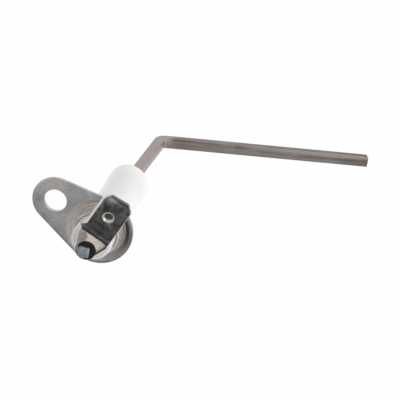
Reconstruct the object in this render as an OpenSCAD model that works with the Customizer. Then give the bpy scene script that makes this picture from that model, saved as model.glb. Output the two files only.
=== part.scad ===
// Flame-sensing / ignition electrode: a square heat-resistant rod held in a ceramic
// insulator, carried by a teardrop sheet bracket, with a push-on flag terminal behind.
// +Z runs along the insulator from the burner to the terminal, so the electrode hangs
// below the bracket. The insulator axis lies on the -X side of the screw hole. The
// origin is the centre of that hole in the plane of the bracket's burner-side face.

/* [Bracket] */
// Thickness of the bracket sheet
sheet_t = 0.9; // [0.7:0.05:1.1]
// Radius of the bracket's large end, round the insulator
big_end_r = 7.1; // [7.0:0.1:9]
// Radius of the bracket's small end, round the screw hole
small_end_r = 4.8; // [4:0.1:6]
// Distance from the screw hole to the insulator axis
screw_to_axis = 10.3; // [9.6:0.1:13]
// Diameter of the screw hole
screw_hole_d = 4.7; // [3.5:0.1:5.5]
// Depth of the dish pressed round the insulator
dish_depth = 1.2; // [0.8:0.1:1.6]
// Width of the dish's sloping wall
dish_wall_run = 0.9; // [0.7:0.1:1.2]
// Width of the flat rim between the dish and the bracket's edge
dish_rim_w = 0.6; // [0.5:0.1:0.9]

/* [Insulator] */
// Diameter of the insulator's waist, in front of the bracket
waist_d = 7.8; // [7.6:0.1:8]
// Diameter of the groove that the bracket is closed into
seat_d = 7.3; // [7:0.1:7.4]
// Diameter of the insulator's two thick ends
thick_end_d = 8.3; // [8.2:0.1:8.8]
// Length of the insulator in front of the bracket
front_len = 25.4; // [20:0.2:34]
// Length of the waist's plain stretch in front of the bracket
waist_len = 11; // [8:0.5:14]
// Distance from the bracket to the insulator's rear shoulder
rear_shoulder = 5.5; // [4.6:0.1:7]
// Diameter of the boss that carries the terminal
boss_d = 4.7; // [4.4:0.1:5.2]
// Height of the boss above the rear shoulder
boss_len = 4.2; // [3:0.1:6]
// Rounding of the insulator's outer edges
edge_round = 1.0; // [0.4:0.1:1.2]

/* [Electrode] */
// Side of the square rod
rod_side = 2.1; // [1.7:0.1:2.4]
// Length of the rod from the insulator to the bend
lead_len = 24.1; // [18:0.5:34]
// Length of the sensing arm, from the bend's corner to the tip
arm_len = 45; // [30:1:65]
// Angle through which the arm is bent
bend_angle = 68; // [40:1:90]
// Inside radius of the bend
bend_inside_r = 0.9; // [0.6:0.1:2]
// Slight set of the rod towards the arm where it leaves the insulator
set_angle = 2.2; // [1:0.1:4]
// Direction in which the arm points, seen along the insulator
arm_turn = -24; // [-60:1:60]
// Length of the rod's stub behind the terminal
stub_len = 0.9; // [0.6:0.1:2.5]

/* [Terminal] */
// Thickness of the terminal
tab_t = 0.8; // [0.6:0.1:1]
// Width of the push-on tab
tab_w = 6.35; // [4.8:0.05:6.4]
// Length of the tab from the bend line to its tip
tab_len = 10.5; // [9.5:0.1:14]
// Size of the chamfers on the tip's corners
tip_chamfer = 1.4; // [0.8:0.1:1.6]
// Angle by which the tab stands off the bracket's plane
tab_rise = 10; // [6:1:16]
// Slight twist of the tab about its own length
tab_twist = 8; // [4:1:10]
// Distance from the rod to the bend line
bend_line = 3.9; // [2.8:0.1:5]
// Wall of the terminal's foot round its rod hole
foot_wall = 0.65; // [0.55:0.05:1]
// How far the foot's round end and the weld bead lie off the rod, towards the bend line
foot_shift = 0.3; // [0:0.05:0.35]
// Distance from the bend line to the push-on stop
stop_at = 1.7; // [1.4:0.1:3.4]
// How far the push-on stop stands out beside the tab
stop_w = 0.75; // [0.5:0.05:1]
// Diameter of the latching dimple
dimple_d = 2.3; // [1.5:0.1:2.5]
// Depth of the latching dimple
dimple_depth = 0.4; // [0.2:0.05:0.45]
// Distance from the bend line to the dimple
dimple_at = 5.6; // [4.8:0.1:7]

/* [Collar, packing and cement] */
// Wall of the spring collar
collar_t = 0.35; // [0.25:0.05:0.45]
// Height of the spring collar above the dish floor
collar_h = 3.1; // [2.4:0.1:3.6]
// Width of the packing ring between the insulator and the collar
packing_w = 0.5; // [0.4:0.05:0.7]
// Height of the packing ring
packing_h = 1.6; // [1:0.1:2]
// How far the weld bead that joins the rod to the terminal laps the foot round the hole
bead_lap = 0.45; // [0.4:0.05:0.5]
// How far the weld bead lies off the rod, away from the screw hole
bead_side = 0.2; // [0:0.05:0.2]
// Height of the weld bead
bead_h = 0.4; // [0.2:0.1:0.8]
// Depth of the cement in the insulator's front mouth
front_cement_len = 5; // [3:0.5:8]

/* [Hidden] */
$fn = 96;
fit_gap = 0.06;                          // clearance between pieces that slide together
bite = 0.05;                             // overlap inside one piece where shapes are joined

// Bracket
floor_z = dish_depth - sheet_t;          // rear surface of the dish's floor
dish_mouth_r = big_end_r - dish_rim_w;   // dish edge on the rear face
dish_floor_r = dish_mouth_r - dish_wall_run;
waist_r = waist_d / 2;
seat_r = seat_d / 2;
thick_r = thick_end_d / 2;
lean = asin((big_end_r - small_end_r) / screw_to_axis);   // slope of the outline's straight sides

// Insulator. The pieces are drawn about its axis with z towards the burner, z = 0 on
// the bracket's burner-side face
shoulder_z = -sheet_t - rear_shoulder;
boss_z = shoulder_z - boss_len;
packing_z = floor_z - packing_h;         // rear face of the packing, against the rear shoulder
seat_front_z = dish_depth + fit_gap;     // front wall of the groove
rod_h = rod_side / 2;
bore_r = rod_h * sqrt(2) + fit_gap;

// Electrode
bend_r = bend_inside_r + rod_side / 2;
bend_tangent = bend_r * tan(bend_angle / 2);
bend_slim = 0.01;                        // metal lost from each face in the bend
set_z = front_len + 0.8;                 // where the set starts
foot_z = boss_z - tab_t;                 // rear face of the terminal's foot
stub_z = foot_z - stub_len;
mouth_recess = 0.3;                      // cement lies this far below the insulator's front face

// Terminal
foot_r = bore_r + foot_wall;             // round end of the foot
bead_r = bore_r + bead_lap;

// Places pieces drawn about the insulator axis, z towards the burner
module on_axis() translate([-screw_to_axis, 0, 0]) rotate([0, 180, 0]) children();

// A ring turned about the insulator axis: z from low to high
module ring(outer_r, inner_r, low, high) {
    translate([0, 0, low])
        linear_extrude(high - low)
            difference() { circle(outer_r); circle(inner_r); }
}

// ---- mounting bracket ----

// Teardrop outline about the insulator axis: two round ends and the tangents between them
module teardrop() {
    tangent = [-sin(lean), cos(lean)];
    union() {
        circle(big_end_r);
        translate([-screw_to_axis, 0]) circle(small_end_r);
        polygon([[-screw_to_axis + small_end_r * tangent.x, small_end_r * tangent.y],
                 [big_end_r * tangent.x, big_end_r * tangent.y],
                 [big_end_r * tangent.x, -big_end_r * tangent.y],
                 [-screw_to_axis + small_end_r * tangent.x, -small_end_r * tangent.y]]);
    }
}

// Section of the pressed dish, radius against height
module dish_section() {
    polygon([[seat_r + fit_gap, floor_z], [dish_floor_r, floor_z],
             [dish_mouth_r, -sheet_t], [dish_mouth_r + bite, -sheet_t],
             [dish_mouth_r + bite, 0], [dish_floor_r + sheet_t / 2, dish_depth],
             [seat_r + fit_gap, dish_depth]]);
}

module mounting_bracket() {
    color([0.74, 0.73, 0.71])
    on_axis() {
        difference() {
            translate([0, 0, -sheet_t]) linear_extrude(sheet_t) teardrop();
            cylinder(r = dish_mouth_r, h = 3 * sheet_t, center = true);
            translate([-screw_to_axis, 0, 0]) cylinder(d = screw_hole_d, h = 3 * sheet_t, center = true);
        }
        rotate_extrude() dish_section();
    }
}

// ---- collar and packing ----

packing_r = seat_r + fit_gap + packing_w;
collar_in_r = max(packing_r, thick_r) + fit_gap;
collar_out_r = collar_in_r + collar_t;

module spring_collar() {
    color([0.80, 0.78, 0.76])
    on_axis() rotate_extrude()
        polygon([[collar_in_r, floor_z], [collar_out_r + collar_t, floor_z],
                 [collar_out_r + collar_t, floor_z - collar_t], [collar_out_r, floor_z - collar_t],
                 [collar_out_r, floor_z - collar_h], [collar_in_r, floor_z - collar_h]]);
}

module packing_ring() {
    color([0.55, 0.52, 0.48])
    on_axis() ring(packing_r, seat_r + fit_gap, packing_z, floor_z);
}

// ---- ceramic insulator ----

module insulator_section() {
    difference() {
        union() {
            translate([0, packing_z - bite]) square([seat_r, seat_front_z - packing_z + 2 * bite]);
            translate([0, seat_front_z]) square([waist_r, waist_len - seat_front_z]);
            polygon([[0, waist_len - bite], [waist_r, waist_len - bite], [thick_r, front_len - 2 * edge_round],
                     [thick_r, front_len - edge_round], [0, front_len - edge_round]]);
            translate([0, front_len - edge_round - bite]) square([thick_r - edge_round, edge_round + bite]);
            intersection() {
                translate([thick_r - edge_round, front_len - edge_round]) circle(edge_round);
                translate([thick_r - edge_round, front_len - edge_round]) square(edge_round);
            }
            translate([0, shoulder_z]) square([thick_r, packing_z - shoulder_z]);
            translate([0, boss_z]) square([boss_d / 2, boss_len + bite]);
        }
        translate([-1, boss_z - 1]) square([bore_r + 1, front_len - boss_z + 2]);
    }
}

module ceramic_insulator() {
    color([0.95, 0.95, 0.94])
    on_axis() rotate_extrude() insulator_section();
}

// ---- electrode rod ----

// From the stub to the bend: straight through the insulator, then the slight set.
// Drawn in the plane of the bend, from the start of the bend back to the stub.
module rod_stem(lean_len, straight_len) {
    kink = rod_h * tan(set_angle / 2);
    along = [sin(set_angle), -cos(set_angle)];
    across = [cos(set_angle), sin(set_angle)];
    foot = [0, -lean_len] + straight_len * along;
    translate([0, rod_h, 0]) rotate([90, 0, 0]) linear_extrude(rod_side)
        polygon([[-rod_h, bite], [rod_h, bite], [rod_h, -lean_len + kink], foot + rod_h * across,
                 foot - rod_h * across, [-rod_h, -lean_len - kink]]);
}

// The bend starts at the origin along +Z and turns towards +X; the arm follows it.
// The bent metal is a hair slimmer than the straights, which run a little into it.
module rod_bend_and_arm(straight_len) {
    translate([bend_r, 0, 0]) {
        rotate([90, 0, 180]) rotate_extrude(angle = bend_angle)
            translate([bend_r, 0]) square(rod_side - 2 * bend_slim, center = true);
        rotate([0, bend_angle, 0]) translate([-bend_r - rod_h, -rod_h, -bite])
            cube([rod_side, rod_side, straight_len + bite]);
    }
}

module electrode_rod() {
    lean_len = lead_len - bend_tangent - (set_z - front_len);
    color([0.46, 0.42, 0.40])
    on_axis() rotate([0, 0, arm_turn]) translate([0, 0, set_z]) rotate([0, set_angle, 0])
        translate([0, 0, lean_len]) {
            rod_stem(lean_len, set_z - stub_z);
            rod_bend_and_arm(arm_len - bend_tangent);
        }
}

// The rod's own volume along the insulator, to cut the pieces that fit round it
module rod_core() {
    rotate([0, 0, arm_turn])
        translate([-rod_h, -rod_h, stub_z - 1]) cube([rod_side, rod_side, set_z - stub_z]);
}

// ---- cement ----

module cement(low, high) {
    color([0.86, 0.84, 0.80])
    on_axis() difference() {
        translate([0, 0, low]) cylinder(r = bore_r, h = high - low);
        rod_core();
    }
}

module front_cement() cement(front_len - mouth_recess - front_cement_len, front_len - mouth_recess);
module rear_cement() cement(boss_z, shoulder_z);

// ---- terminal ----

// Foot of the terminal, seen along the rod: a round end that widens to the bend line
module foot_outline() {
    union() {
        translate([0, -foot_shift]) circle(foot_r);
        polygon([[-foot_r, -foot_shift], [-tab_w / 2, -bend_line + 1], [-tab_w / 2, -bend_line],
                 [tab_w / 2, -bend_line], [tab_w / 2, -bend_line + 1], [foot_r, -foot_shift]]);
    }
}

// Tab outline: X across, Y from the bend line to the tip
module tab_outline() {
    half = tab_w / 2;
    polygon([[-half, 0], [-half - stop_w, stop_at - 0.85], [-half, stop_at],
             [-half, tab_len - tip_chamfer], [-half + tip_chamfer, tab_len],
             [half - tip_chamfer, tab_len], [half, tab_len - tip_chamfer], [half, 0]]);
}

module flag_terminal() {
    color([0.62, 0.60, 0.56])
    on_axis() translate([0, 0, boss_z]) {
        difference() {
            translate([0, 0, -tab_t]) linear_extrude(tab_t) foot_outline();
            cylinder(r = bore_r, h = 4 * tab_t, center = true);
        }
        translate([0, -bend_line, 0]) {
            // rounded bend between the foot and the tab
            rotate([0, 0, 180]) rotate([90, 0, 90])
                translate([0, 0, -tab_w / 2]) linear_extrude(tab_w) intersection() {
                    translate([0, -tab_t / 2]) circle(tab_t / 2);
                    translate([-tab_t, -tab_t]) square(2 * tab_t);
                }
            translate([0, 0, -tab_t / 2]) rotate([180 + tab_rise, 0, 0]) rotate([0, tab_twist, 0])
                difference() {
                    translate([0, 0, -tab_t / 2]) linear_extrude(tab_t) tab_outline();
                    translate([0, dimple_at, tab_t / 2 - dimple_depth])
                        cylinder(d = dimple_d, h = tab_t);
                }
        }
    }
}

module weld_bead() {
    color([0.10, 0.09, 0.09])
    on_axis() difference() {
        translate([bead_side, -foot_shift, foot_z - bead_h]) cylinder(r = bead_r, h = bead_h);
        rod_core();
    }
}

mounting_bracket();
spring_collar();
packing_ring();
ceramic_insulator();
electrode_rod();
front_cement();
rear_cement();
flag_terminal();
weld_bead();
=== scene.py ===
import math
from types import SimpleNamespace

import bmesh
import bpy
from mathutils import Matrix, Vector


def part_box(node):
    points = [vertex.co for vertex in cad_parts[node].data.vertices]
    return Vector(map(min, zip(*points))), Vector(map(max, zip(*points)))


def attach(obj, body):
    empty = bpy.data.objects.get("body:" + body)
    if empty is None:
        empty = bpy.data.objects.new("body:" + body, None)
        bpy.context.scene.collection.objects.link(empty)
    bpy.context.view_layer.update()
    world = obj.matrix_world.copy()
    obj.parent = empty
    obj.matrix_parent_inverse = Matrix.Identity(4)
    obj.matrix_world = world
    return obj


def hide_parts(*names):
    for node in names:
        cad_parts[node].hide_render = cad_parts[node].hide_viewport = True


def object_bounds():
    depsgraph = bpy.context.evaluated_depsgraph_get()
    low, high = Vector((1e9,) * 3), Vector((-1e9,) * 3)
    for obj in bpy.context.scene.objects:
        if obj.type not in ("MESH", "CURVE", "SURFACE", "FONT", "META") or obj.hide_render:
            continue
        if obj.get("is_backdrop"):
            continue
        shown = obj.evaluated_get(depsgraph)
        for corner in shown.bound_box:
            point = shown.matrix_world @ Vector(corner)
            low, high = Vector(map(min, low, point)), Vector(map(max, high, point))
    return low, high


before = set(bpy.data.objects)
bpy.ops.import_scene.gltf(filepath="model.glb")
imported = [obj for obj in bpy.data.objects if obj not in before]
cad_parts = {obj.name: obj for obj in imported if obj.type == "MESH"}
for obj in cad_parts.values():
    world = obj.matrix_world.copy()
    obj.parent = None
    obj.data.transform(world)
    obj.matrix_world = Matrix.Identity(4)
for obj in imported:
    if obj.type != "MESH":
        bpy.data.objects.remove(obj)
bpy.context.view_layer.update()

bl_info = {
    "name": "Ignition electrode",
    "version": (1, 0, 0),
    "blender": (4, 5, 0),
    "location": "3D View > Sidebar > Electrode",
    "description": "Builds a flame-sensing electrode on its bracket, piece by piece",
    "category": "Object",
}

MM = 0.001


# ---------------------------------------------------------------- sizes read from the frame
def middle(node):
    low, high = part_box(node)
    return (Vector(low) + Vector(high)) / 2


def low_z(node):
    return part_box(node)[0][2] / MM


def high_z(node):
    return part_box(node)[1][2] / MM


def radius_of(node):
    low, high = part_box(node)
    return (high[0] - low[0]) / MM / 2


# AXIS_X is in metres, the rest in millimetres. Z = 0 is the bracket's burner-side face.
AXIS_X = middle("spring_collar").x            # the insulator axis, seen from the screw hole
SHEET = 0.9                                   # the bracket's sheet
GAP = 0.06                                    # clearance between pieces that slide together
PACKING = 0.5                                 # width of the packing ring
DISH_FLOOR = low_z("spring_collar")           # the collar stands on the dish's floor
DISH_FRONT = low_z("mounting_bracket")
FOOT_FRONT = high_z("ceramic_insulator")
FOOT_REAR = low_z("weld_bead")


# ---------------------------------------------------------------- user settings
def length(name, description, default):
    return bpy.props.FloatProperty(
        name=name, description=description, default=default * MM, precision=5, unit="LENGTH", min=0
    )


def angle(name, description, default):
    return bpy.props.FloatProperty(
        name=name, description=description, default=math.radians(default), subtype="ANGLE"
    )


def colour(name, description, default):
    return bpy.props.FloatVectorProperty(
        name=name, description=description, default=default, size=3, min=0, max=1, subtype="COLOR"
    )


class ELECTRODE_PG_bracket(bpy.types.PropertyGroup):
    big_end: length("Large end radius", "Radius round the insulator", 7.1)
    small_end: length("Small end radius", "Radius round the screw hole", 4.8)
    screw_hole: length("Screw hole radius", "Radius of the screw hole", 2.35)
    dish_rim: length("Dish rim", "Flat left between the dish and the edge", 0.6)
    dish_run: length("Dish wall run", "Width of the dish's sloping wall", 0.9)
    edge_roll: length("Edge roll", "Rounding left by the die on the rear edges", 0.26)
    steel: colour("Steel", "Colour of the rolled sheet", (0.56, 0.55, 0.545))


class ELECTRODE_PG_insulator(bpy.types.PropertyGroup):
    waist: length("Waist radius", "Radius in front of the bracket", 3.9)
    waist_length: length("Waist length", "Plain stretch in front of the bracket", 11)
    thick_end: length("Thick end radius", "Radius of both thick ends", 4.15)
    boss: length("Boss radius", "Radius of the boss under the terminal", 2.35)
    edge: length("Edge rounding", "Rounding of the front edge", 1.0)
    glaze: colour("Glaze", "Colour of the fired ceramic", (0.92, 0.92, 0.915))


class ELECTRODE_PG_rod(bpy.types.PropertyGroup):
    side: length("Rod side", "Side of the square rod", 2.1)
    corner: length("Corner rounding", "Rounding of the rod's long edges", 0.2)
    lead: length("Lead", "From the insulator to the bend's corner", 24.1)
    arm: length("Arm", "From the bend's corner to the tip", 45)
    bend_inside: length("Inside bend radius", "Radius inside the bend", 0.9)
    bend: angle("Bend", "Angle of the bend", 68)
    set_end: length("Set end", "From the insulator to the end of the slight set", 0.8)
    set_run: length("Set run", "Length over which the set is spread", 0.6)
    set_radius: length("Set radius", "Radius on which the set is drawn", 16)
    set_angle: angle("Set", "Slight set of the rod below the insulator", 2.2)
    turn: angle("Turn", "Direction of the arm about the insulator", 24)
    alloy: colour("Alloy", "Colour of the heat-resistant alloy", (0.40, 0.35, 0.325))


class ELECTRODE_PG_terminal(bpy.types.PropertyGroup):
    thick: length("Thickness", "Thickness of the terminal", 0.8)
    foot: length("Foot radius", "Radius of the foot's round end", 2.2)
    bend_line: length("Bend line", "From the rod to the bend line", 3.9)
    tab_width: length("Tab width", "Width of the push-on tab", 6.35)
    tab_length: length("Tab length", "From the bend line to the tip", 10.5)
    chamfer: length("Tip chamfer", "Chamfers on the tip's corners", 1.4)
    stop_at: length("Push-on stop", "From the bend line to the push-on stop", 1.7)
    stop_run: length("Stop run", "How far along the tab the stop's slant runs", 0.85)
    stop_width: length("Stop width", "How far the stop stands out beside the tab", 0.75)
    dimple: length("Dimple radius", "Radius of the latching dimple", 1.15)
    dimple_at: length("Dimple place", "From the bend line to the latching dimple", 5.6)
    dimple_depth: length("Dimple depth", "Depth of the latching dimple", 0.36)
    # These rounded edges get the second finish, a painted highlight.
    edge: length("Edge rounding", "Rounding of the rubbed edges", 0.13)
    rise: angle("Rise", "Angle between the tab and the bracket", 10)
    twist: angle("Twist", "Twist of the tab about its length", 8)
    plating: colour("Plating", "Colour of the plated steel", (0.50, 0.495, 0.49))


class ELECTRODE_PG_collar(bpy.types.PropertyGroup):
    wall: length("Collar wall", "Thickness of the spring collar", 0.35)
    steel: colour("Spring steel", "Colour of the spring collar", (0.80, 0.75, 0.71))


class ELECTRODE_PG_stage(bpy.types.PropertyGroup):
    floor: colour("Floor", "Colour of the floor", (0.96, 0.96, 0.96))
    azimuth: angle("View azimuth", "Angle of the camera round the part", 5.0)
    elevation: angle("View elevation", "Angle of the camera above the floor", 64.5)
    roll: angle("View roll", "Turn of the camera about its own line of sight", -149.4)
    distance: length("View distance", "From the camera to what it is aimed at", 661)


GROUPS = {
    "electrode_bracket": ELECTRODE_PG_bracket,
    "electrode_insulator": ELECTRODE_PG_insulator,
    "electrode_rod": ELECTRODE_PG_rod,
    "electrode_terminal": ELECTRODE_PG_terminal,
    "electrode_collar": ELECTRODE_PG_collar,
    "electrode_stage": ELECTRODE_PG_stage,
}


def set_properties(group):
    return [p for p in group.bl_rna.properties if p.identifier not in {"rna_type", "name"}]


def settings(context, name):
    """The named group's values, with its lengths in millimetres."""
    group = getattr(context.scene, "electrode_" + name)
    values = {}
    for prop in set_properties(group):
        value = getattr(group, prop.identifier)
        values[prop.identifier] = value / MM if prop.unit == "LENGTH" else value
    return SimpleNamespace(**values)


# ---------------------------------------------------------------- shader maths
class Wire:
    """A socket in a node tree, on which arithmetic adds Math nodes."""

    def __init__(self, tree, socket):
        self.tree = tree
        self.socket = socket

    def maths(self, operation, *values):
        return self.tree.add(
            "ShaderNodeMath", {"operation": operation}, dict(enumerate(values))
        ).out("Value")

    def __add__(self, other):
        return self.maths("ADD", self, other)

    def __radd__(self, other):
        return self.maths("ADD", other, self)

    def __sub__(self, other):
        return self.maths("SUBTRACT", self, other)

    def __rsub__(self, other):
        return self.maths("SUBTRACT", other, self)

    def __mul__(self, other):
        return self.maths("MULTIPLY", self, other)

    def __rmul__(self, other):
        return self.maths("MULTIPLY", other, self)

    def __pow__(self, other):
        return self.maths("POWER", self, other)

    def clamp(self):
        return self.tree.add("ShaderNodeClamp", {}, {"Value": self}).out("Result")

    def band(self, low, high, start=0.0, end=1.0):
        """The start value below low, the end value above high, smooth between."""
        node = self.tree.add(
            "ShaderNodeMapRange",
            {"interpolation_type": "SMOOTHSTEP"},
            {"Value": self, "From Min": low, "From Max": high, "To Min": start, "To Max": end},
        )
        return node.out("Result")


class Placed:
    """A node, asked for its outputs by name or number."""

    def __init__(self, tree, node):
        self.tree = tree
        self.node = node

    def out(self, name):
        return Wire(self.tree, self.node.outputs[name])


class Tree:
    """A node tree, to which every node is added in one way."""

    def __init__(self, node_tree):
        self.nodes = node_tree.nodes
        self.links = node_tree.links

    def add(self, kind, options, inputs):
        node = self.nodes.new(kind)
        for key, value in options.items():
            setattr(node, key, value)
        self.fill(node, inputs)
        return Placed(self, node)

    def fill(self, node, inputs):
        for key, value in inputs.items():
            socket = node.inputs[key]
            if isinstance(value, Wire):
                self.links.new(value.socket, socket)
            elif socket.type == "RGBA" and len(value) == 3:
                socket.default_value = (*value, 1)
            else:
                socket.default_value = value


class Finish(Tree):
    """A material with one Principled shader."""

    def __init__(self, name):
        self.material = bpy.data.materials.new(name)
        self.material.use_nodes = True
        super().__init__(self.material.node_tree)
        self.nodes.clear()
        self.surface = self.add("ShaderNodeBsdfPrincipled", {}, {})
        self.add("ShaderNodeOutputMaterial", {}, {"Surface": self.surface.out("BSDF")})

    def shade(self, **inputs):
        self.fill(self.surface.node, {k.replace("_", " "): v for k, v in inputs.items()})
        return self.material

    def place(self):
        return self.add("ShaderNodeTexCoord", {}, {}).out("Object")

    def stretch(self, scale, turn=0.0, tilt=0.0, at=(0, 0, 0)):
        """Object coordinates in which a pattern is moved, turned and drawn out."""
        node = self.add(
            "ShaderNodeMapping",
            {"vector_type": "TEXTURE"},
            {
                "Vector": self.place(),
                "Location": at,
                "Rotation": (0, tilt, turn),
                "Scale": tuple(1 / s for s in scale),
            },
        )
        return node.out("Vector")

    def noise(self, per_metre, detail=4, rough=0.55, vector=None):
        node = self.add(
            "ShaderNodeTexNoise",
            {},
            {
                "Vector": vector or self.place(),
                "Scale": per_metre,
                "Detail": detail,
                "Roughness": rough,
            },
        )
        return node.out("Fac")

    def mix(self, factor, first, second, blend="MIX"):
        node = self.add(
            "ShaderNodeMix",
            {"data_type": "RGBA", "blend_type": blend},
            {0: factor, 6: first, 7: second},
        )
        return node.out(2)

    def darker(self, tint, by):
        return self.mix(1.0, tint, (by, by, by), "MULTIPLY")

    def bump(self, height, distance_mm, strength=1.0):
        node = self.add(
            "ShaderNodeBump",
            {},
            {"Height": height, "Strength": strength, "Distance": distance_mm * MM},
        )
        return node.out("Normal")

    def along(self, axis, start=0.0):
        """How far a point lies along an axis, in millimetres from the given place."""
        parts = self.add("ShaderNodeSeparateXYZ", {}, {"Vector": self.place()})
        return parts.out(axis) * (1 / MM) - start

    def distance_from(self, x, y, z=None):
        """Distance in millimetres from a point, or from an upright line when z is left out."""
        dx, dy = self.along("X", x), self.along("Y", y)
        total = dx * dx + dy * dy
        if z is not None:
            dz = self.along("Z", z)
            total = total + dz * dz
        return total ** 0.5


def scaled(tint, by):
    return tuple(min(1.0, c * by) for c in tint)


# ---------------------------------------------------------------- modelling by hand, in millimetres
def deselect():
    if bpy.context.mode != "OBJECT":
        bpy.ops.object.mode_set(mode="OBJECT")
    bpy.ops.object.select_all(action="DESELECT")


def only(piece):
    deselect()
    piece.select_set(True)
    bpy.context.view_layer.objects.active = piece


def edit(piece, mode="VERT", action="DESELECT"):
    """Opens a piece in edit mode, with nothing or everything selected."""
    only(piece)
    bpy.ops.object.mode_set(mode="EDIT")
    bpy.ops.mesh.select_mode(type=mode)
    bpy.ops.mesh.select_all(action=action)


def close_edit():
    bpy.ops.object.mode_set(mode="OBJECT")


def pick(piece, kind, test):
    """Selects the vertices, edges or faces of an edited mesh that pass a test."""
    mesh = bmesh.from_edit_mesh(piece.data)
    for item in getattr(mesh, kind):
        item.select_set(bool(test(item)))
    mesh.select_flush_mode()
    bmesh.update_edit_mesh(piece.data)


def extrude(move):
    bpy.ops.mesh.extrude_region_move(TRANSFORM_OT_translate={"value": tuple(move)})


def merge_and_turn_out(piece):
    edit(piece, action="SELECT")
    bpy.ops.mesh.remove_doubles(threshold=0.0005)
    bpy.ops.mesh.normals_make_consistent(inside=False)
    close_edit()


def modifier(piece, kind, **options):
    only(piece)
    made = piece.modifiers.new(kind.title(), kind)
    for key, value in options.items():
        setattr(made, key, value)
    bpy.ops.object.modifier_apply(modifier=made.name)


def bevel(piece, size, segments, steeper_than, material=-1):
    modifier(
        piece, "BEVEL", width=size, segments=segments, limit_method="ANGLE",
        angle_limit=math.radians(steeper_than), use_clamp_overlap=True, material=material,
    )


def drill(piece, radius, depth, place, sides=64):
    """Cuts an upright round hole or recess."""
    deselect()
    bpy.ops.mesh.primitive_cylinder_add(vertices=sides, radius=radius, depth=depth, location=place)
    cutter = bpy.context.object
    modifier(piece, "BOOLEAN", object=cutter, operation="DIFFERENCE", solver="EXACT")
    bpy.data.objects.remove(cutter)


def outline(name, points, z=0.0):
    """A flat face with the given corners, begun as a circle with as many."""
    return laid_out(name, [(x, y, z) for x, y in points], "NGON")


def laid_out(name, places, fill):
    deselect()
    bpy.ops.mesh.primitive_circle_add(vertices=len(places), radius=1, fill_type=fill)
    piece = bpy.context.object
    piece.name = piece.data.name = name
    for vertex, place in zip(piece.data.vertices, places):
        vertex.co = place
    return piece


def thicken(piece, depth):
    edit(piece, "FACE", "SELECT")
    extrude((0, 0, depth))
    close_edit()
    merge_and_turn_out(piece)


def lathe(name, profile, steps=96):
    """Turns a closed section, (radius, height) in order, about the insulator axis."""
    piece = laid_out(name, [(max(radius, 0), 0, height) for radius, height in profile], "NOTHING")
    edit(piece, action="SELECT")
    bpy.ops.mesh.spin(steps=steps, angle=math.tau, center=(0, 0, 0), axis=(0, 0, 1))
    close_edit()
    merge_and_turn_out(piece)
    return piece


def rounded(points, radii, segments=5):
    """The closed section with its corners rounded, one radius for each corner."""
    made = []
    for i, (corner, radius) in enumerate(zip(points, radii)):
        if not radius:
            made.append(corner)
            continue
        here = Vector(corner)
        before = (Vector(points[i - 1]) - here).normalized()
        after = (Vector(points[(i + 1) % len(points)]) - here).normalized()
        opening = before.angle(after)
        run = radius / math.tan(opening / 2)
        centre = here + (before + after).normalized() * radius / math.sin(opening / 2)
        start, end = here + before * run - centre, here + after * run - centre
        first = math.atan2(start.y, start.x)
        sweep = math.remainder(math.atan2(end.y, end.x) - first, math.tau)
        made += arc(centre, radius, math.degrees(first), math.degrees(first + sweep), segments)
    return made


def arc(centre, radius, start, end, steps):
    """Points on an arc, angles in degrees."""
    points = []
    for i in range(steps + 1):
        turned = math.radians(start + (end - start) * i / steps)
        points.append((centre[0] + radius * math.cos(turned), centre[1] + radius * math.sin(turned)))
    return points


def finish_piece(piece, name, node, material=None, sharp=35.0):
    """Moves a piece from its drawing place on the insulator axis, in millimetres, into the frame."""
    only(piece)
    piece.scale = (MM, MM, MM)
    piece.location = (AXIS_X, 0, 0)
    bpy.ops.object.transform_apply(location=True, rotation=True, scale=True)
    bpy.ops.object.shade_smooth_by_angle(angle=math.radians(sharp))
    piece.name = piece.data.name = name
    if material:
        coat(piece, material)
    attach(piece, "root")
    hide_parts(node)


def coat(piece, material):
    piece.data.materials.clear()
    piece.data.materials.append(material)


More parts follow.
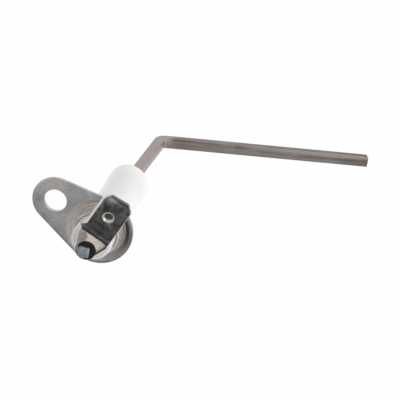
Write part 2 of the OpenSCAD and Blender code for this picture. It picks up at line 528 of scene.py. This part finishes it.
# ---------------------------------------------------------------- finishes
def rolled_steel(name, tint, dished=False):
    """Bright rolled sheet: faint rolling lines, clouding, small scratches. The bracket's dish wall
    carries a painted reflection, near black on the side away from the screw and near white on the
    screw's side, its floor is painted a light pinkish grey, and painted shade lies on the flat rim
    away from the screw. The collar is duller."""
    f = Finish(name)
    cloud = f.noise(260, 5, 0.6)
    lines = f.noise(900, 3, 0.6, f.stretch((0.12, 3.2, 1), 0.25))
    specks = f.noise(2600, 2, 0.7)
    tone = (cloud * 0.6 + lines * 0.15 + specks * 0.25).clamp()
    base = f.mix(tone.band(0.35, 0.68), scaled(tint, 0.64), scaled(tint, 1.22))
    brown = scaled((0.60, 0.52, 0.46), tint[0] / 0.6)
    base = f.mix(f.noise(140, 3).band(0.5, 0.72) * 0.35, base, brown)
    metal = 0.25
    if dished:
        radius = f.distance_from(AXIS_X / MM, 0)
        inside = 1 - radius.band(6.35, 6.6)
        # Painted reflection: the dish's colour runs from near black to near white towards the screw's
        # side.
        painted_light_slope = f.along("X", AXIS_X / MM) * 0.6 + f.along("Y") * 0.8
        wall = f.mix(painted_light_slope.band(-6.5, -1.0), (0.03, 0.027, 0.026), (0.52, 0.475, 0.45))
        wall = f.mix(painted_light_slope.band(-1.5, 4.5), wall, (0.97, 0.90, 0.87))
        wall = f.mix((1 - radius.band(5.3, 5.6)) * 0.85, wall, (0.80, 0.74, 0.71))
        wall = f.mix(cloud.band(0.38, 0.66), f.darker(wall, 0.84), wall)
        base = f.mix(inside, base, wall)
        # Painted shade: a dark band on the flat rim round the dish, on the side away from the screw.
        stain_and_painted_shade = radius.band(6.35, 6.6) * (1 - radius.band(7.0, 7.3)) * (1 - painted_light_slope.band(-6.0, -2.0))
        base = f.mix(stain_and_painted_shade * 0.7, base, (0.16, 0.15, 0.14))
        # The dish is made almost non-metallic so that its painted colour shows.
        metal = 1 - inside * 0.95
    return f.shade(
        Base_Color=base,
        Metallic=metal,
        Roughness=(cloud * 0.22 + lines * 0.12 + 0.2).clamp(),
        Normal=f.bump(lines * 0.5 + specks * 0.5, 0.012, 0.5),
    )


def painted_highlight_edge(name, tint, tip):
    """Cut edges of the terminal, painted bright as a highlight but for the dark tip."""
    f = Finish(name)
    fine = f.noise(2200, 3, 0.6)
    bright = f.mix(fine.band(0.35, 0.65), scaled(tint, 0.8), tint)
    return f.shade(
        Base_Color=f.mix(f.along("Y", tip).band(0.9, 1.5), (0.12, 0.12, 0.12), bright),
        Metallic=1.0,
        Roughness=(fine * 0.2 + 0.2).clamp(),
        Normal=f.bump(fine, 0.01, 0.4),
    )


def plated_steel(name, tint, fold, stop, tip, side, dimple):
    """Plated terminal: the tab mottled and tarnished, the foot painted a lighter, warmer cream for the
    brighter light it catches and left smoother, painted shade in the fold between them, and painted
    highlights along the tab's screw side and round the dimple's rim."""
    f = Finish(name)
    blotch = f.noise(620, 6, 0.7)
    fine = f.noise(2600, 4, 0.65)
    mottle = (blotch * 0.45 + fine * 0.55).band(0.40, 0.62)
    tab = f.mix(mottle, scaled(tint, 0.66), scaled(tint, 1.3))
    # A real brown tarnish spot on the tab, placed at random.
    stain_and_painted_shade = f.noise(420, 4, 0.6, f.stretch((1, 1, 1), at=(0.004, 0.002, 0))).band(0.58, 0.74)
    tab = f.mix(stain_and_painted_shade * 0.25, tab, (0.20, 0.145, 0.095))
    dark_tip = 1 - f.along("Y", tip).band(0.35, 0.8)
    tab = f.mix(dark_tip * 0.75, tab, (0.08, 0.08, 0.08))

    from_fold = f.along("Y", fold)
    # Painted light: the foot gets a lighter, warmer cream than the tab, for the brighter light it
    # catches.
    foot = f.mix(mottle, (0.50, 0.45, 0.385), (0.66, 0.61, 0.54))
    lit_foot_and_plain_glaze = from_fold.band(0.12, 0.35)
    base = f.mix(lit_foot_and_plain_glaze, tab, foot)
    # Painted shade: a dark band along the fold between the tab and the foot.
    painted_fold_shade = from_fold.band(-0.35, -0.1) * (1 - from_fold.band(0.12, 0.4))
    base = f.mix(painted_fold_shade * 0.85, base, (0.075, 0.058, 0.045))

    from_dimple = f.distance_from(*dimple)
    base = f.mix((1 - from_dimple.band(0.8, 0.95)) * 0.8, base, (0.72, 0.58, 0.50))
    # Painted highlights: a bright ring round the dimple's rim and a bright strip along the tab's
    # screw-side edge, both made less metallic so that the painted colour shows.
    painted_lip_highlight = from_dimple.band(0.86, 0.98) * (1 - from_dimple.band(1.16, 1.3))
    beyond_stop = 1 - f.along("Y", stop).band(-0.15, 0.05)
    edge = f.along("X", side).band(-0.46, -0.34) * beyond_stop * (1 - dark_tip)
    painted_bright = (painted_lip_highlight * 0.75 + edge).clamp()
    base = f.mix(painted_bright, base, (1.0, 0.97, 0.93))
    return f.shade(
        Base_Color=base,
        Metallic=1 - painted_bright * 0.9,
        Roughness=(blotch * 0.3 * (1 - lit_foot_and_plain_glaze) + 0.12 + painted_bright * 0.3).clamp(),
        Normal=f.bump(fine * 0.5 + blotch * 0.5, 0.012, 0.4),
    )


def drawn_alloy(name, tint, turn, tilt):
    """Drawn bar: fine grain, brown oxide, dull sheen, die lines along the arm, which the flame
    has darkened, and the blued end left by the weld."""
    f = Finish(name)
    grain = f.noise(1700, 4, 0.6)
    cloud = f.noise(210, 4, 0.6)
    pits = f.noise(3600, 2, 0.6)
    tone = (grain * 0.35 + cloud * 0.4 + pits * 0.25).band(0.36, 0.64)
    base = f.mix(tone, scaled(tint, 0.84), scaled(tint, 1.16))
    lines = f.noise(1100, 3, 0.6, f.stretch((0.03, 1, 1), turn, tilt))
    streaks = (lines * 0.7 + cloud * 0.3).band(0.36, 0.62)
    arm = f.distance_from(AXIS_X / MM, 0).band(2.6, 4.2)
    base = f.mix(arm, base, f.mix(streaks, scaled(tint, 0.38), scaled(tint, 0.86)))
    blue = f.mix(grain.band(0.4, 0.6), (0.33, 0.36, 0.38), (0.46, 0.50, 0.51))
    base = f.mix(f.along("Z", FOOT_REAR).band(-0.1, 0.3), base, blue)
    return f.shade(
        Base_Color=base,
        Metallic=0.85,
        Roughness=(cloud * 0.2 + grain * 0.15 + 0.32).clamp(),
        Normal=f.bump(grain * 0.6 + pits * 0.4, 0.01, 0.5),
    )


def fired_glaze(name, tint):
    """White glazed ceramic: faint mottling, pinholes, a faint brown tint round the rear end near the
    collar.
    """
    f = Finish(name)
    cloud = f.noise(120, 3)
    pin = f.noise(1900, 3, 0.6)
    base = f.mix(cloud.band(0.4, 0.62), scaled(tint, 0.955), scaled(tint, 1.03))
    # Browner near the axis point 3 mm above the bracket's burner-side face, fading out from 3.4 to 5.4
    # mm.
    lit_foot_and_plain_glaze = f.distance_from(AXIS_X / MM, 0, 3.0).band(3.4, 5.4)
    base = f.mix(((1 - lit_foot_and_plain_glaze) * 0.28).clamp(), base, (0.70, 0.62, 0.50))
    return f.shade(
        Base_Color=base,
        Roughness=(pin * 0.18 + 0.24).clamp(),
        Normal=f.bump(pin * 0.6 + cloud * 0.4, 0.02, 0.35),
        Coat_Weight=0.25,
        Coat_Roughness=0.2,
    )


def set_cement(name, tint):
    """Sandy cement or pressed fibre."""
    f = Finish(name)
    grain = f.noise(2400, 5, 0.7)
    tone = (grain * 0.6 + f.noise(600, 3) * 0.4).band(0.35, 0.65)
    return f.shade(
        Base_Color=f.mix(tone, scaled(tint, 0.8), scaled(tint, 1.08)),
        Roughness=(grain * 0.2 + 0.72).clamp(),
        Normal=f.bump(grain, 0.05, 0.8),
    )


def burnt_weld_and_shade(name):
    """Burnt crust of the weld: nearly black, partly the crust's own colour and partly painted shade
    round the stub, with a few straw-coloured spots, and painted lighter on the side away from the tab."""
    f = Finish(name)
    crust = f.noise(1700, 5, 0.7)
    # Near black: partly the crust's own colour, partly painted shade round the stub.
    base = f.mix(crust.band(0.4, 0.7), (0.006, 0.004, 0.004), (0.035, 0.022, 0.024))
    base = f.mix(f.noise(700, 3).band(0.60, 0.70) * 0.6, base, (0.24, 0.13, 0.05))
    # Painted light: the side away from the tab is painted a lighter grey, so the dark shows only
    # towards the tab.
    painted_lit_side = (f.along("X", AXIS_X / MM) * 0.5 + f.along("Y") * 0.87).band(0.5, 0.9)
    base = f.mix(painted_lit_side, base, (0.36, 0.34, 0.31))
    return f.shade(
        Base_Color=base,
        Metallic=0.0,
        Specular_IOR_Level=0.25,
        Roughness=(crust * 0.3 + 0.5).clamp(),
        Normal=f.bump(crust, 0.06, 0.9),
    )


# ---------------------------------------------------------------- pieces
class ELECTRODE_OT_bracket(bpy.types.Operator):
    """Models the teardrop bracket with its screw hole and pressed dish"""

    bl_idname = "electrode.bracket"
    bl_label = "Mounting bracket"

    def execute(self, context):
        s = settings(context, "bracket")
        to_hole = -AXIS_X / MM
        lean = math.degrees(math.asin((s.big_end - s.small_end) / to_hole))
        edge = arc((to_hole, 0), s.small_end, -90 + lean, 90 - lean, 32)
        edge += arc((0, 0), s.big_end, 90 - lean, 270 + lean, 64)
        plate = outline("bracket", edge)
        thicken(plate, SHEET)
        bevel(plate, s.edge_roll, 4, 30)
        drill(plate, s.screw_hole, 4, (to_hole, 0, 0))
        mouth = s.big_end - s.dish_rim
        drill(plate, mouth, 4, (0, 0, 0), 96)

        floor = mouth - s.dish_run
        hole = radius_of("packing_ring") - PACKING
        section = rounded(
            [(mouth, SHEET), (floor, DISH_FLOOR), (hole, DISH_FLOOR), (hole, DISH_FRONT),
             (floor + SHEET / 2, DISH_FRONT), (mouth, 0)],
            [0, 0.28, 0, 0.12, 0.45, 0],
        )
        edit(plate)
        pick(plate, "faces", lambda f: all(abs(v.co.xy.length - mouth) < 0.01 for v in f.verts))
        bpy.ops.mesh.delete(type="FACE")
        close_edit()
        self.draw_dish(plate, section)
        merge_and_turn_out(plate)
        finish_piece(
            plate, "bracket_plate", "mounting_bracket",
            rolled_steel("bracket_steel", s.steel, dished=True), 40,
        )
        return {"FINISHED"}

    @staticmethod
    def draw_dish(plate, section):
        """Draws the rear rim of the opening down along the section and joins it to the front rim."""
        edit(plate, "EDGE")
        pick(
            plate, "edges",
            lambda e: e.is_boundary and all(v.co.z > SHEET - 0.01 for v in e.verts),
        )
        radius, height = section[0]
        for next_radius, next_height in section[1:-1]:
            bpy.ops.mesh.extrude_edges_move(
                TRANSFORM_OT_translate={"value": (0, 0, next_height - height)}
            )
            ratio = next_radius / radius
            bpy.ops.transform.resize(value=(ratio, ratio, 1), center_override=(0, 0, 0))
            radius, height = next_radius, next_height
        pick(plate, "edges", lambda e: e.is_boundary)
        bpy.ops.mesh.bridge_edge_loops()
        close_edit()


class ELECTRODE_OT_collar(bpy.types.Operator):
    """Turns the spring collar that grips the insulator, and gives the packing its finish"""

    bl_idname = "electrode.collar"
    bl_label = "Spring collar and packing"

    def execute(self, context):
        s = settings(context, "collar")
        flange = radius_of("spring_collar")
        outer = flange - s.wall
        inner = outer - s.wall
        low, top = DISH_FLOOR, high_z("spring_collar")
        section = rounded(
            [(inner, low), (flange, low), (flange, low + s.wall),
             (outer, low + s.wall), (outer, top), (inner, top)],
            [0, 0.12, 0.12, 0.15, 0.14, 0.14], 4,
        )
        finish_piece(
            lathe("collar", section), "collar_ring", "spring_collar",
            rolled_steel("collar_steel", s.steel),
        )
        coat(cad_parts["packing_ring"], set_cement("packing_fibre", (0.52, 0.48, 0.43)))
        return {"FINISHED"}


class ELECTRODE_OT_insulator(bpy.types.Operator):
    """Turns the ceramic insulator, and gives the cement in its mouths its finish"""

    bl_idname = "electrode.insulator"
    bl_label = "Ceramic insulator"

    def execute(self, context):
        s = settings(context, "insulator")
        front = low_z("ceramic_insulator")
        bore = radius_of("rear_cement")
        shoulder = low_z("rear_cement")
        seat = radius_of("packing_ring") - PACKING - GAP
        seat_top = high_z("packing_ring")
        seat_low = DISH_FRONT - GAP
        section = rounded(
            [(bore, FOOT_FRONT), (s.boss, FOOT_FRONT), (s.boss, shoulder), (s.thick_end, shoulder),
             (s.thick_end, seat_top), (seat, seat_top), (seat, seat_low), (s.waist, seat_low),
             (s.waist, -s.waist_length), (s.thick_end, front + 2 * s.edge), (s.thick_end, front),
             (bore, front)],
            [0.1, 0.3, 0.35, 0.75, 0.25, 0, 0, 0.2, 1.5, 1.5, s.edge, 0.15], 6,
        )
        finish_piece(
            lathe("insulator", section, 128), "insulator_body", "ceramic_insulator",
            fired_glaze("insulator_ceramic", s.glaze), 40,
        )
        cement = set_cement("sealing_cement", (0.86, 0.84, 0.80))
        for node in ("front_cement", "rear_cement"):
            coat(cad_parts[node], cement)
        return {"FINISHED"}


class ELECTRODE_OT_rod(bpy.types.Operator):
    """Draws the square rod from its stub through the insulator, round the bend and along the arm"""

    bl_idname = "electrode.rod"
    bl_label = "Electrode rod"

    def execute(self, context):
        s = settings(context, "rod")
        stub = high_z("electrode_rod")
        set_z = low_z("ceramic_insulator") - s.set_end + s.set_run
        bend_r = s.bend_inside + s.side / 2
        tangent = bend_r * math.tan(s.bend / 2)

        deselect()
        bpy.ops.mesh.primitive_plane_add(size=s.side, location=(0, 0, stub))
        rod = bpy.context.object
        rod.name = "rod"
        bpy.ops.object.transform_apply(location=True)
        edit(rod, "FACE", "SELECT")
        extrude((0, 0, set_z - stub))
        # The arm is drawn towards -X and turned to its own direction at the end.
        self.follow((-s.set_radius, 0, set_z), s.set_angle, 3)
        extrude(self.heading(s.set_angle) * (s.lead - tangent - s.set_end))
        inward = Vector((-math.cos(s.set_angle), 0, math.sin(s.set_angle)))
        self.follow(self.end_centre(rod) + inward * bend_r, s.bend, 14)
        final = s.set_angle + s.bend
        extrude(self.heading(final) * (s.arm - tangent))
        close_edit()
        merge_and_turn_out(rod)
        only(rod)
        rod.rotation_euler = (0, 0, s.turn)
        bpy.ops.object.transform_apply(rotation=True)
        bevel(rod, s.corner, 3, 40)
        finish_piece(
            rod, "rod_bar", "electrode_rod",
            drawn_alloy("rod_alloy", s.alloy, s.turn, final - math.pi / 2), 40,
        )
        return {"FINISHED"}

    @staticmethod
    def heading(turned):
        return Vector((-math.sin(turned), 0, -math.cos(turned)))

    @staticmethod
    def follow(centre, turn, steps):
        bpy.ops.mesh.spin(steps=steps, angle=-turn, center=centre, axis=(0, 1, 0))

    @staticmethod
    def end_centre(rod):
        mesh = bmesh.from_edit_mesh(rod.data)
        ends = [v.co.copy() for v in mesh.verts if v.select]
        return sum(ends, Vector()) / len(ends)


class ELECTRODE_OT_terminal(bpy.types.Operator):
    """Cuts the flag terminal from flat, presses its dimple and folds its tab"""

    bl_idname = "electrode.terminal"
    bl_label = "Flag terminal"

    def execute(self, context):
        s = settings(context, "terminal")
        low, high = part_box("flag_terminal")
        half = s.tab_width / 2
        line = -s.bend_line
        tip = line - s.tab_length
        stop = line - s.stop_at
        points = arc((0, high[1] / MM - s.foot), s.foot, 0, 180, 24)
        points += [
            (-half, line + 1), (-half, line), (-half, tip + s.chamfer), (-half + s.chamfer, tip),
            (half - s.chamfer, tip), (half, tip + s.chamfer), (half, stop),
            (half + s.stop_width, stop + s.stop_run), (half, line), (half, line + 1),
        ]
        blank = outline("terminal", points, FOOT_FRONT)
        thicken(blank, s.thick)
        # The drill is 1 mm deep about its middle, and narrow, since the rounded rim widens the dimple.
        drill(
            blank, s.dimple - 0.1, 1, (0, line - s.dimple_at, FOOT_REAR + 0.5 - s.dimple_depth)
        )
        dimple = (
            AXIS_X / MM, line - s.dimple_at * math.cos(s.rise),
            FOOT_REAR + s.dimple_at * math.sin(s.rise),
        )
        tip_y, side_x = low[1] / MM, AXIS_X / MM + half
        # The second finish paints a highlight on the terminal's rounded cut edges.
        for material in (
            plated_steel("terminal_steel", s.plating, line, stop, tip_y, side_x, dimple),
            painted_highlight_edge("terminal_edge", (0.95, 0.91, 0.84), tip_y),
        ):
            blank.data.materials.append(material)
        bevel(blank, s.edge, 3, 25, material=1)

        for beyond in (-0.45, -0.15, 0.15, 0.45, 1.2, 2.0):
            edit(blank, action="SELECT")
            bpy.ops.mesh.bisect(plane_co=(0, line - beyond, 0), plane_no=(0, 1, 0))
            close_edit()
        height = FOOT_FRONT + s.thick / 2
        for beyond, share in ((0.3, 0.4), (0.9, 0.3), (1.6, 0.3)):
            self.turn(blank, line - beyond, s.twist * share, "Y", (0, 0, height))
        for beyond in (-0.3, 0, 0.3):
            self.turn(blank, line - beyond, s.rise / 3, "X", (0, line, height))
        merge_and_turn_out(blank)
        finish_piece(blank, "terminal_flag", "flag_terminal", sharp=28)
        return {"FINISHED"}

    @staticmethod
    def turn(blank, line, angle, axis, centre):
        """Turns all that lies beyond a line. With no window, a positive angle turns clockwise."""
        edit(blank)
        pick(blank, "verts", lambda v: v.co.y < line)
        bpy.ops.transform.rotate(value=angle, orient_axis=axis, center_override=centre)
        close_edit()


class ELECTRODE_OT_weld(bpy.types.Operator):
    """Models the burnt weld round the rod's stub"""

    bl_idname = "electrode.weld"
    bl_label = "Weld bead"

    def execute(self, context):
        low, high = low_z("weld_bead"), high_z("weld_bead")
        outer = radius_of("weld_bead")
        inner = 0.5                           # well inside the rod, so that no gap shows
        centre = middle("weld_bead")
        section = [
            (inner, low - 0.02), (outer - 0.1, low - 0.02), (outer, low + 0.06),
            (outer - 0.08, low + 0.16), (outer - 0.3, high - 0.06), (outer - 0.55, high),
            (inner, high),
        ]
        bead = lathe("weld", section, 40)
        only(bead)
        bead.location = ((centre.x - AXIS_X) / MM, centre.y / MM, 0)
        bpy.ops.object.transform_apply(location=True)
        edit(bead, action="SELECT")
        bpy.ops.transform.vertex_random(offset=0.06, uniform=0.4, normal=0.2, seed=4)
        close_edit()
        modifier(bead, "SUBSURF", levels=2, render_levels=2)
        finish_piece(bead, "weld_crust", "weld_bead", burnt_weld_and_shade("weld_oxide"), 60)
        return {"FINISHED"}


# ---------------------------------------------------------------- stage, in metres
AIM = Vector((-0.0234, -0.0152, -0.0058))     # what the camera and the lamps point at
FLOOR_SIZE = 8
FLOOR_DROP = 0.03                             # from the arm's tip down to the floor


class ELECTRODE_OT_stage(bpy.types.Operator):
    """Sets the pale floor, the soft lights and the camera"""

    bl_idname = "electrode.stage"
    bl_label = "Stage, lights and camera"

    def execute(self, context):
        s = settings(context, "stage")
        self.lay_floor(s)
        world = bpy.data.worlds.new("studio")
        context.scene.world = world
        world.use_nodes = True
        self.light_tent(world.node_tree)
        context.scene.view_settings.view_transform = "Standard"

        level = math.cos(s.elevation)
        back = Vector((
            math.sin(s.azimuth) * level, -math.cos(s.azimuth) * level, math.sin(s.elevation)
        ))
        right = Vector((0, 0, 1)).cross(back).normalized()
        up = back.cross(right)
        seen_right = right * math.cos(s.roll) + up * math.sin(s.roll)
        seen_up = up * math.cos(s.roll) - right * math.sin(s.roll)
        axes = Matrix((seen_right, seen_up, back)).transposed().to_4x4()

        camera = bpy.data.objects.new("camera", bpy.data.cameras.new("camera"))
        context.collection.objects.link(camera)
        camera.matrix_world = Matrix.Translation(AIM + back * s.distance * MM) @ axes
        camera.data.lens = 300
        camera.data.sensor_width = 36
        camera.data.clip_start = 0.01
        camera.data.clip_end = 100
        context.scene.camera = camera

        self.lamp("overhead", Vector((-back.x, -back.y, back.z)) * 0.7, 0.22, 0.8)
        self.lamp("key", seen_right * 0.5 + seen_up * -0.1 + back * 0.35, 0.4, 3.1)
        return {"FINISHED"}

    @staticmethod
    def lay_floor(s):
        """A white floor that glows evenly under the part and greys off far away."""
        deselect()
        bpy.ops.mesh.primitive_plane_add(
            size=FLOOR_SIZE, location=(0, 0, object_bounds()[0].z - FLOOR_DROP)
        )
        floor = bpy.context.object
        floor.name = "floor"
        f = Finish("floor")
        far = f.distance_from(-60, 0).band(180, 620)
        coat(floor, f.shade(
            Base_Color=f.mix(f.noise(3, 2), scaled(s.floor, 0.05), scaled(s.floor, 0.06)),
            Roughness=0.95,
            Specular_IOR_Level=0.0,
            Emission_Color=f.mix(far, s.floor, scaled(s.floor, 0.61)),
            Emission_Strength=1.0,
        ))
        floor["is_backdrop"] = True

    @staticmethod
    def lamp(name, offset, size, radiance):
        """A round softbox that faces the part, with the radiance of its own face."""
        data = bpy.data.lights.new(name, "AREA")
        data.shape = "DISK"
        data.size = size
        data.energy = radiance * math.pi * math.pi * (size / 2) ** 2
        light = bpy.data.objects.new(name, data)
        bpy.context.collection.objects.link(light)
        facing = offset.to_track_quat("Z", "Y").to_matrix().to_4x4()
        light.matrix_world = Matrix.Translation(AIM + offset) @ facing

    @staticmethod
    def light_tent(node_tree):
        """An even pale tent with one soft dark opening, which the terminal mirrors."""
        tent = Tree(node_tree)
        opening = Vector((-0.26, 0.70, 0.66)).normalized()
        direction = tent.add("ShaderNodeTexCoord", {}, {}).out("Generated")
        facing = tent.add(
            "ShaderNodeVectorMath", {"operation": "DOT_PRODUCT"}, {0: direction, 1: opening}
        ).out("Value")
        tent.fill(
            tent.nodes["Background"],
            {"Color": (0.98, 0.985, 1), "Strength": facing.band(0.80, 0.96, 0.62, 0.05)},
        )


OPERATORS = (
    ELECTRODE_OT_bracket,
    ELECTRODE_OT_collar,
    ELECTRODE_OT_insulator,
    ELECTRODE_OT_rod,
    ELECTRODE_OT_terminal,
    ELECTRODE_OT_weld,
    ELECTRODE_OT_stage,
)


class ELECTRODE_PT_panel(bpy.types.Panel):
    """Lists the electrode's pieces and their sizes"""

    bl_idname = "ELECTRODE_PT_panel"
    bl_label = "Ignition electrode"
    bl_space_type = "VIEW_3D"
    bl_region_type = "UI"
    bl_category = "Electrode"

    def draw(self, context):
        for operator in OPERATORS:
            self.layout.operator(operator.bl_idname)
        for name in GROUPS:
            box = self.layout.box()
            group = getattr(context.scene, name)
            for prop in set_properties(group):
                box.prop(group, prop.identifier)


def register():
    for name, group in GROUPS.items():
        bpy.utils.register_class(group)
        setattr(bpy.types.Scene, name, bpy.props.PointerProperty(type=group))
    for item in (*OPERATORS, ELECTRODE_PT_panel):
        bpy.utils.register_class(item)


def unregister():
    for item in reversed((*OPERATORS, ELECTRODE_PT_panel)):
        bpy.utils.unregister_class(item)
    for name, group in reversed(GROUPS.items()):
        delattr(bpy.types.Scene, name)
        bpy.utils.unregister_class(group)


def main():
    register()
    bpy.ops.electrode.bracket()
    bpy.ops.electrode.collar()
    bpy.ops.electrode.insulator()
    bpy.ops.electrode.rod()
    bpy.ops.electrode.terminal()
    bpy.ops.electrode.weld()
    bpy.ops.electrode.stage()


if __name__ == "__main__":
    main()
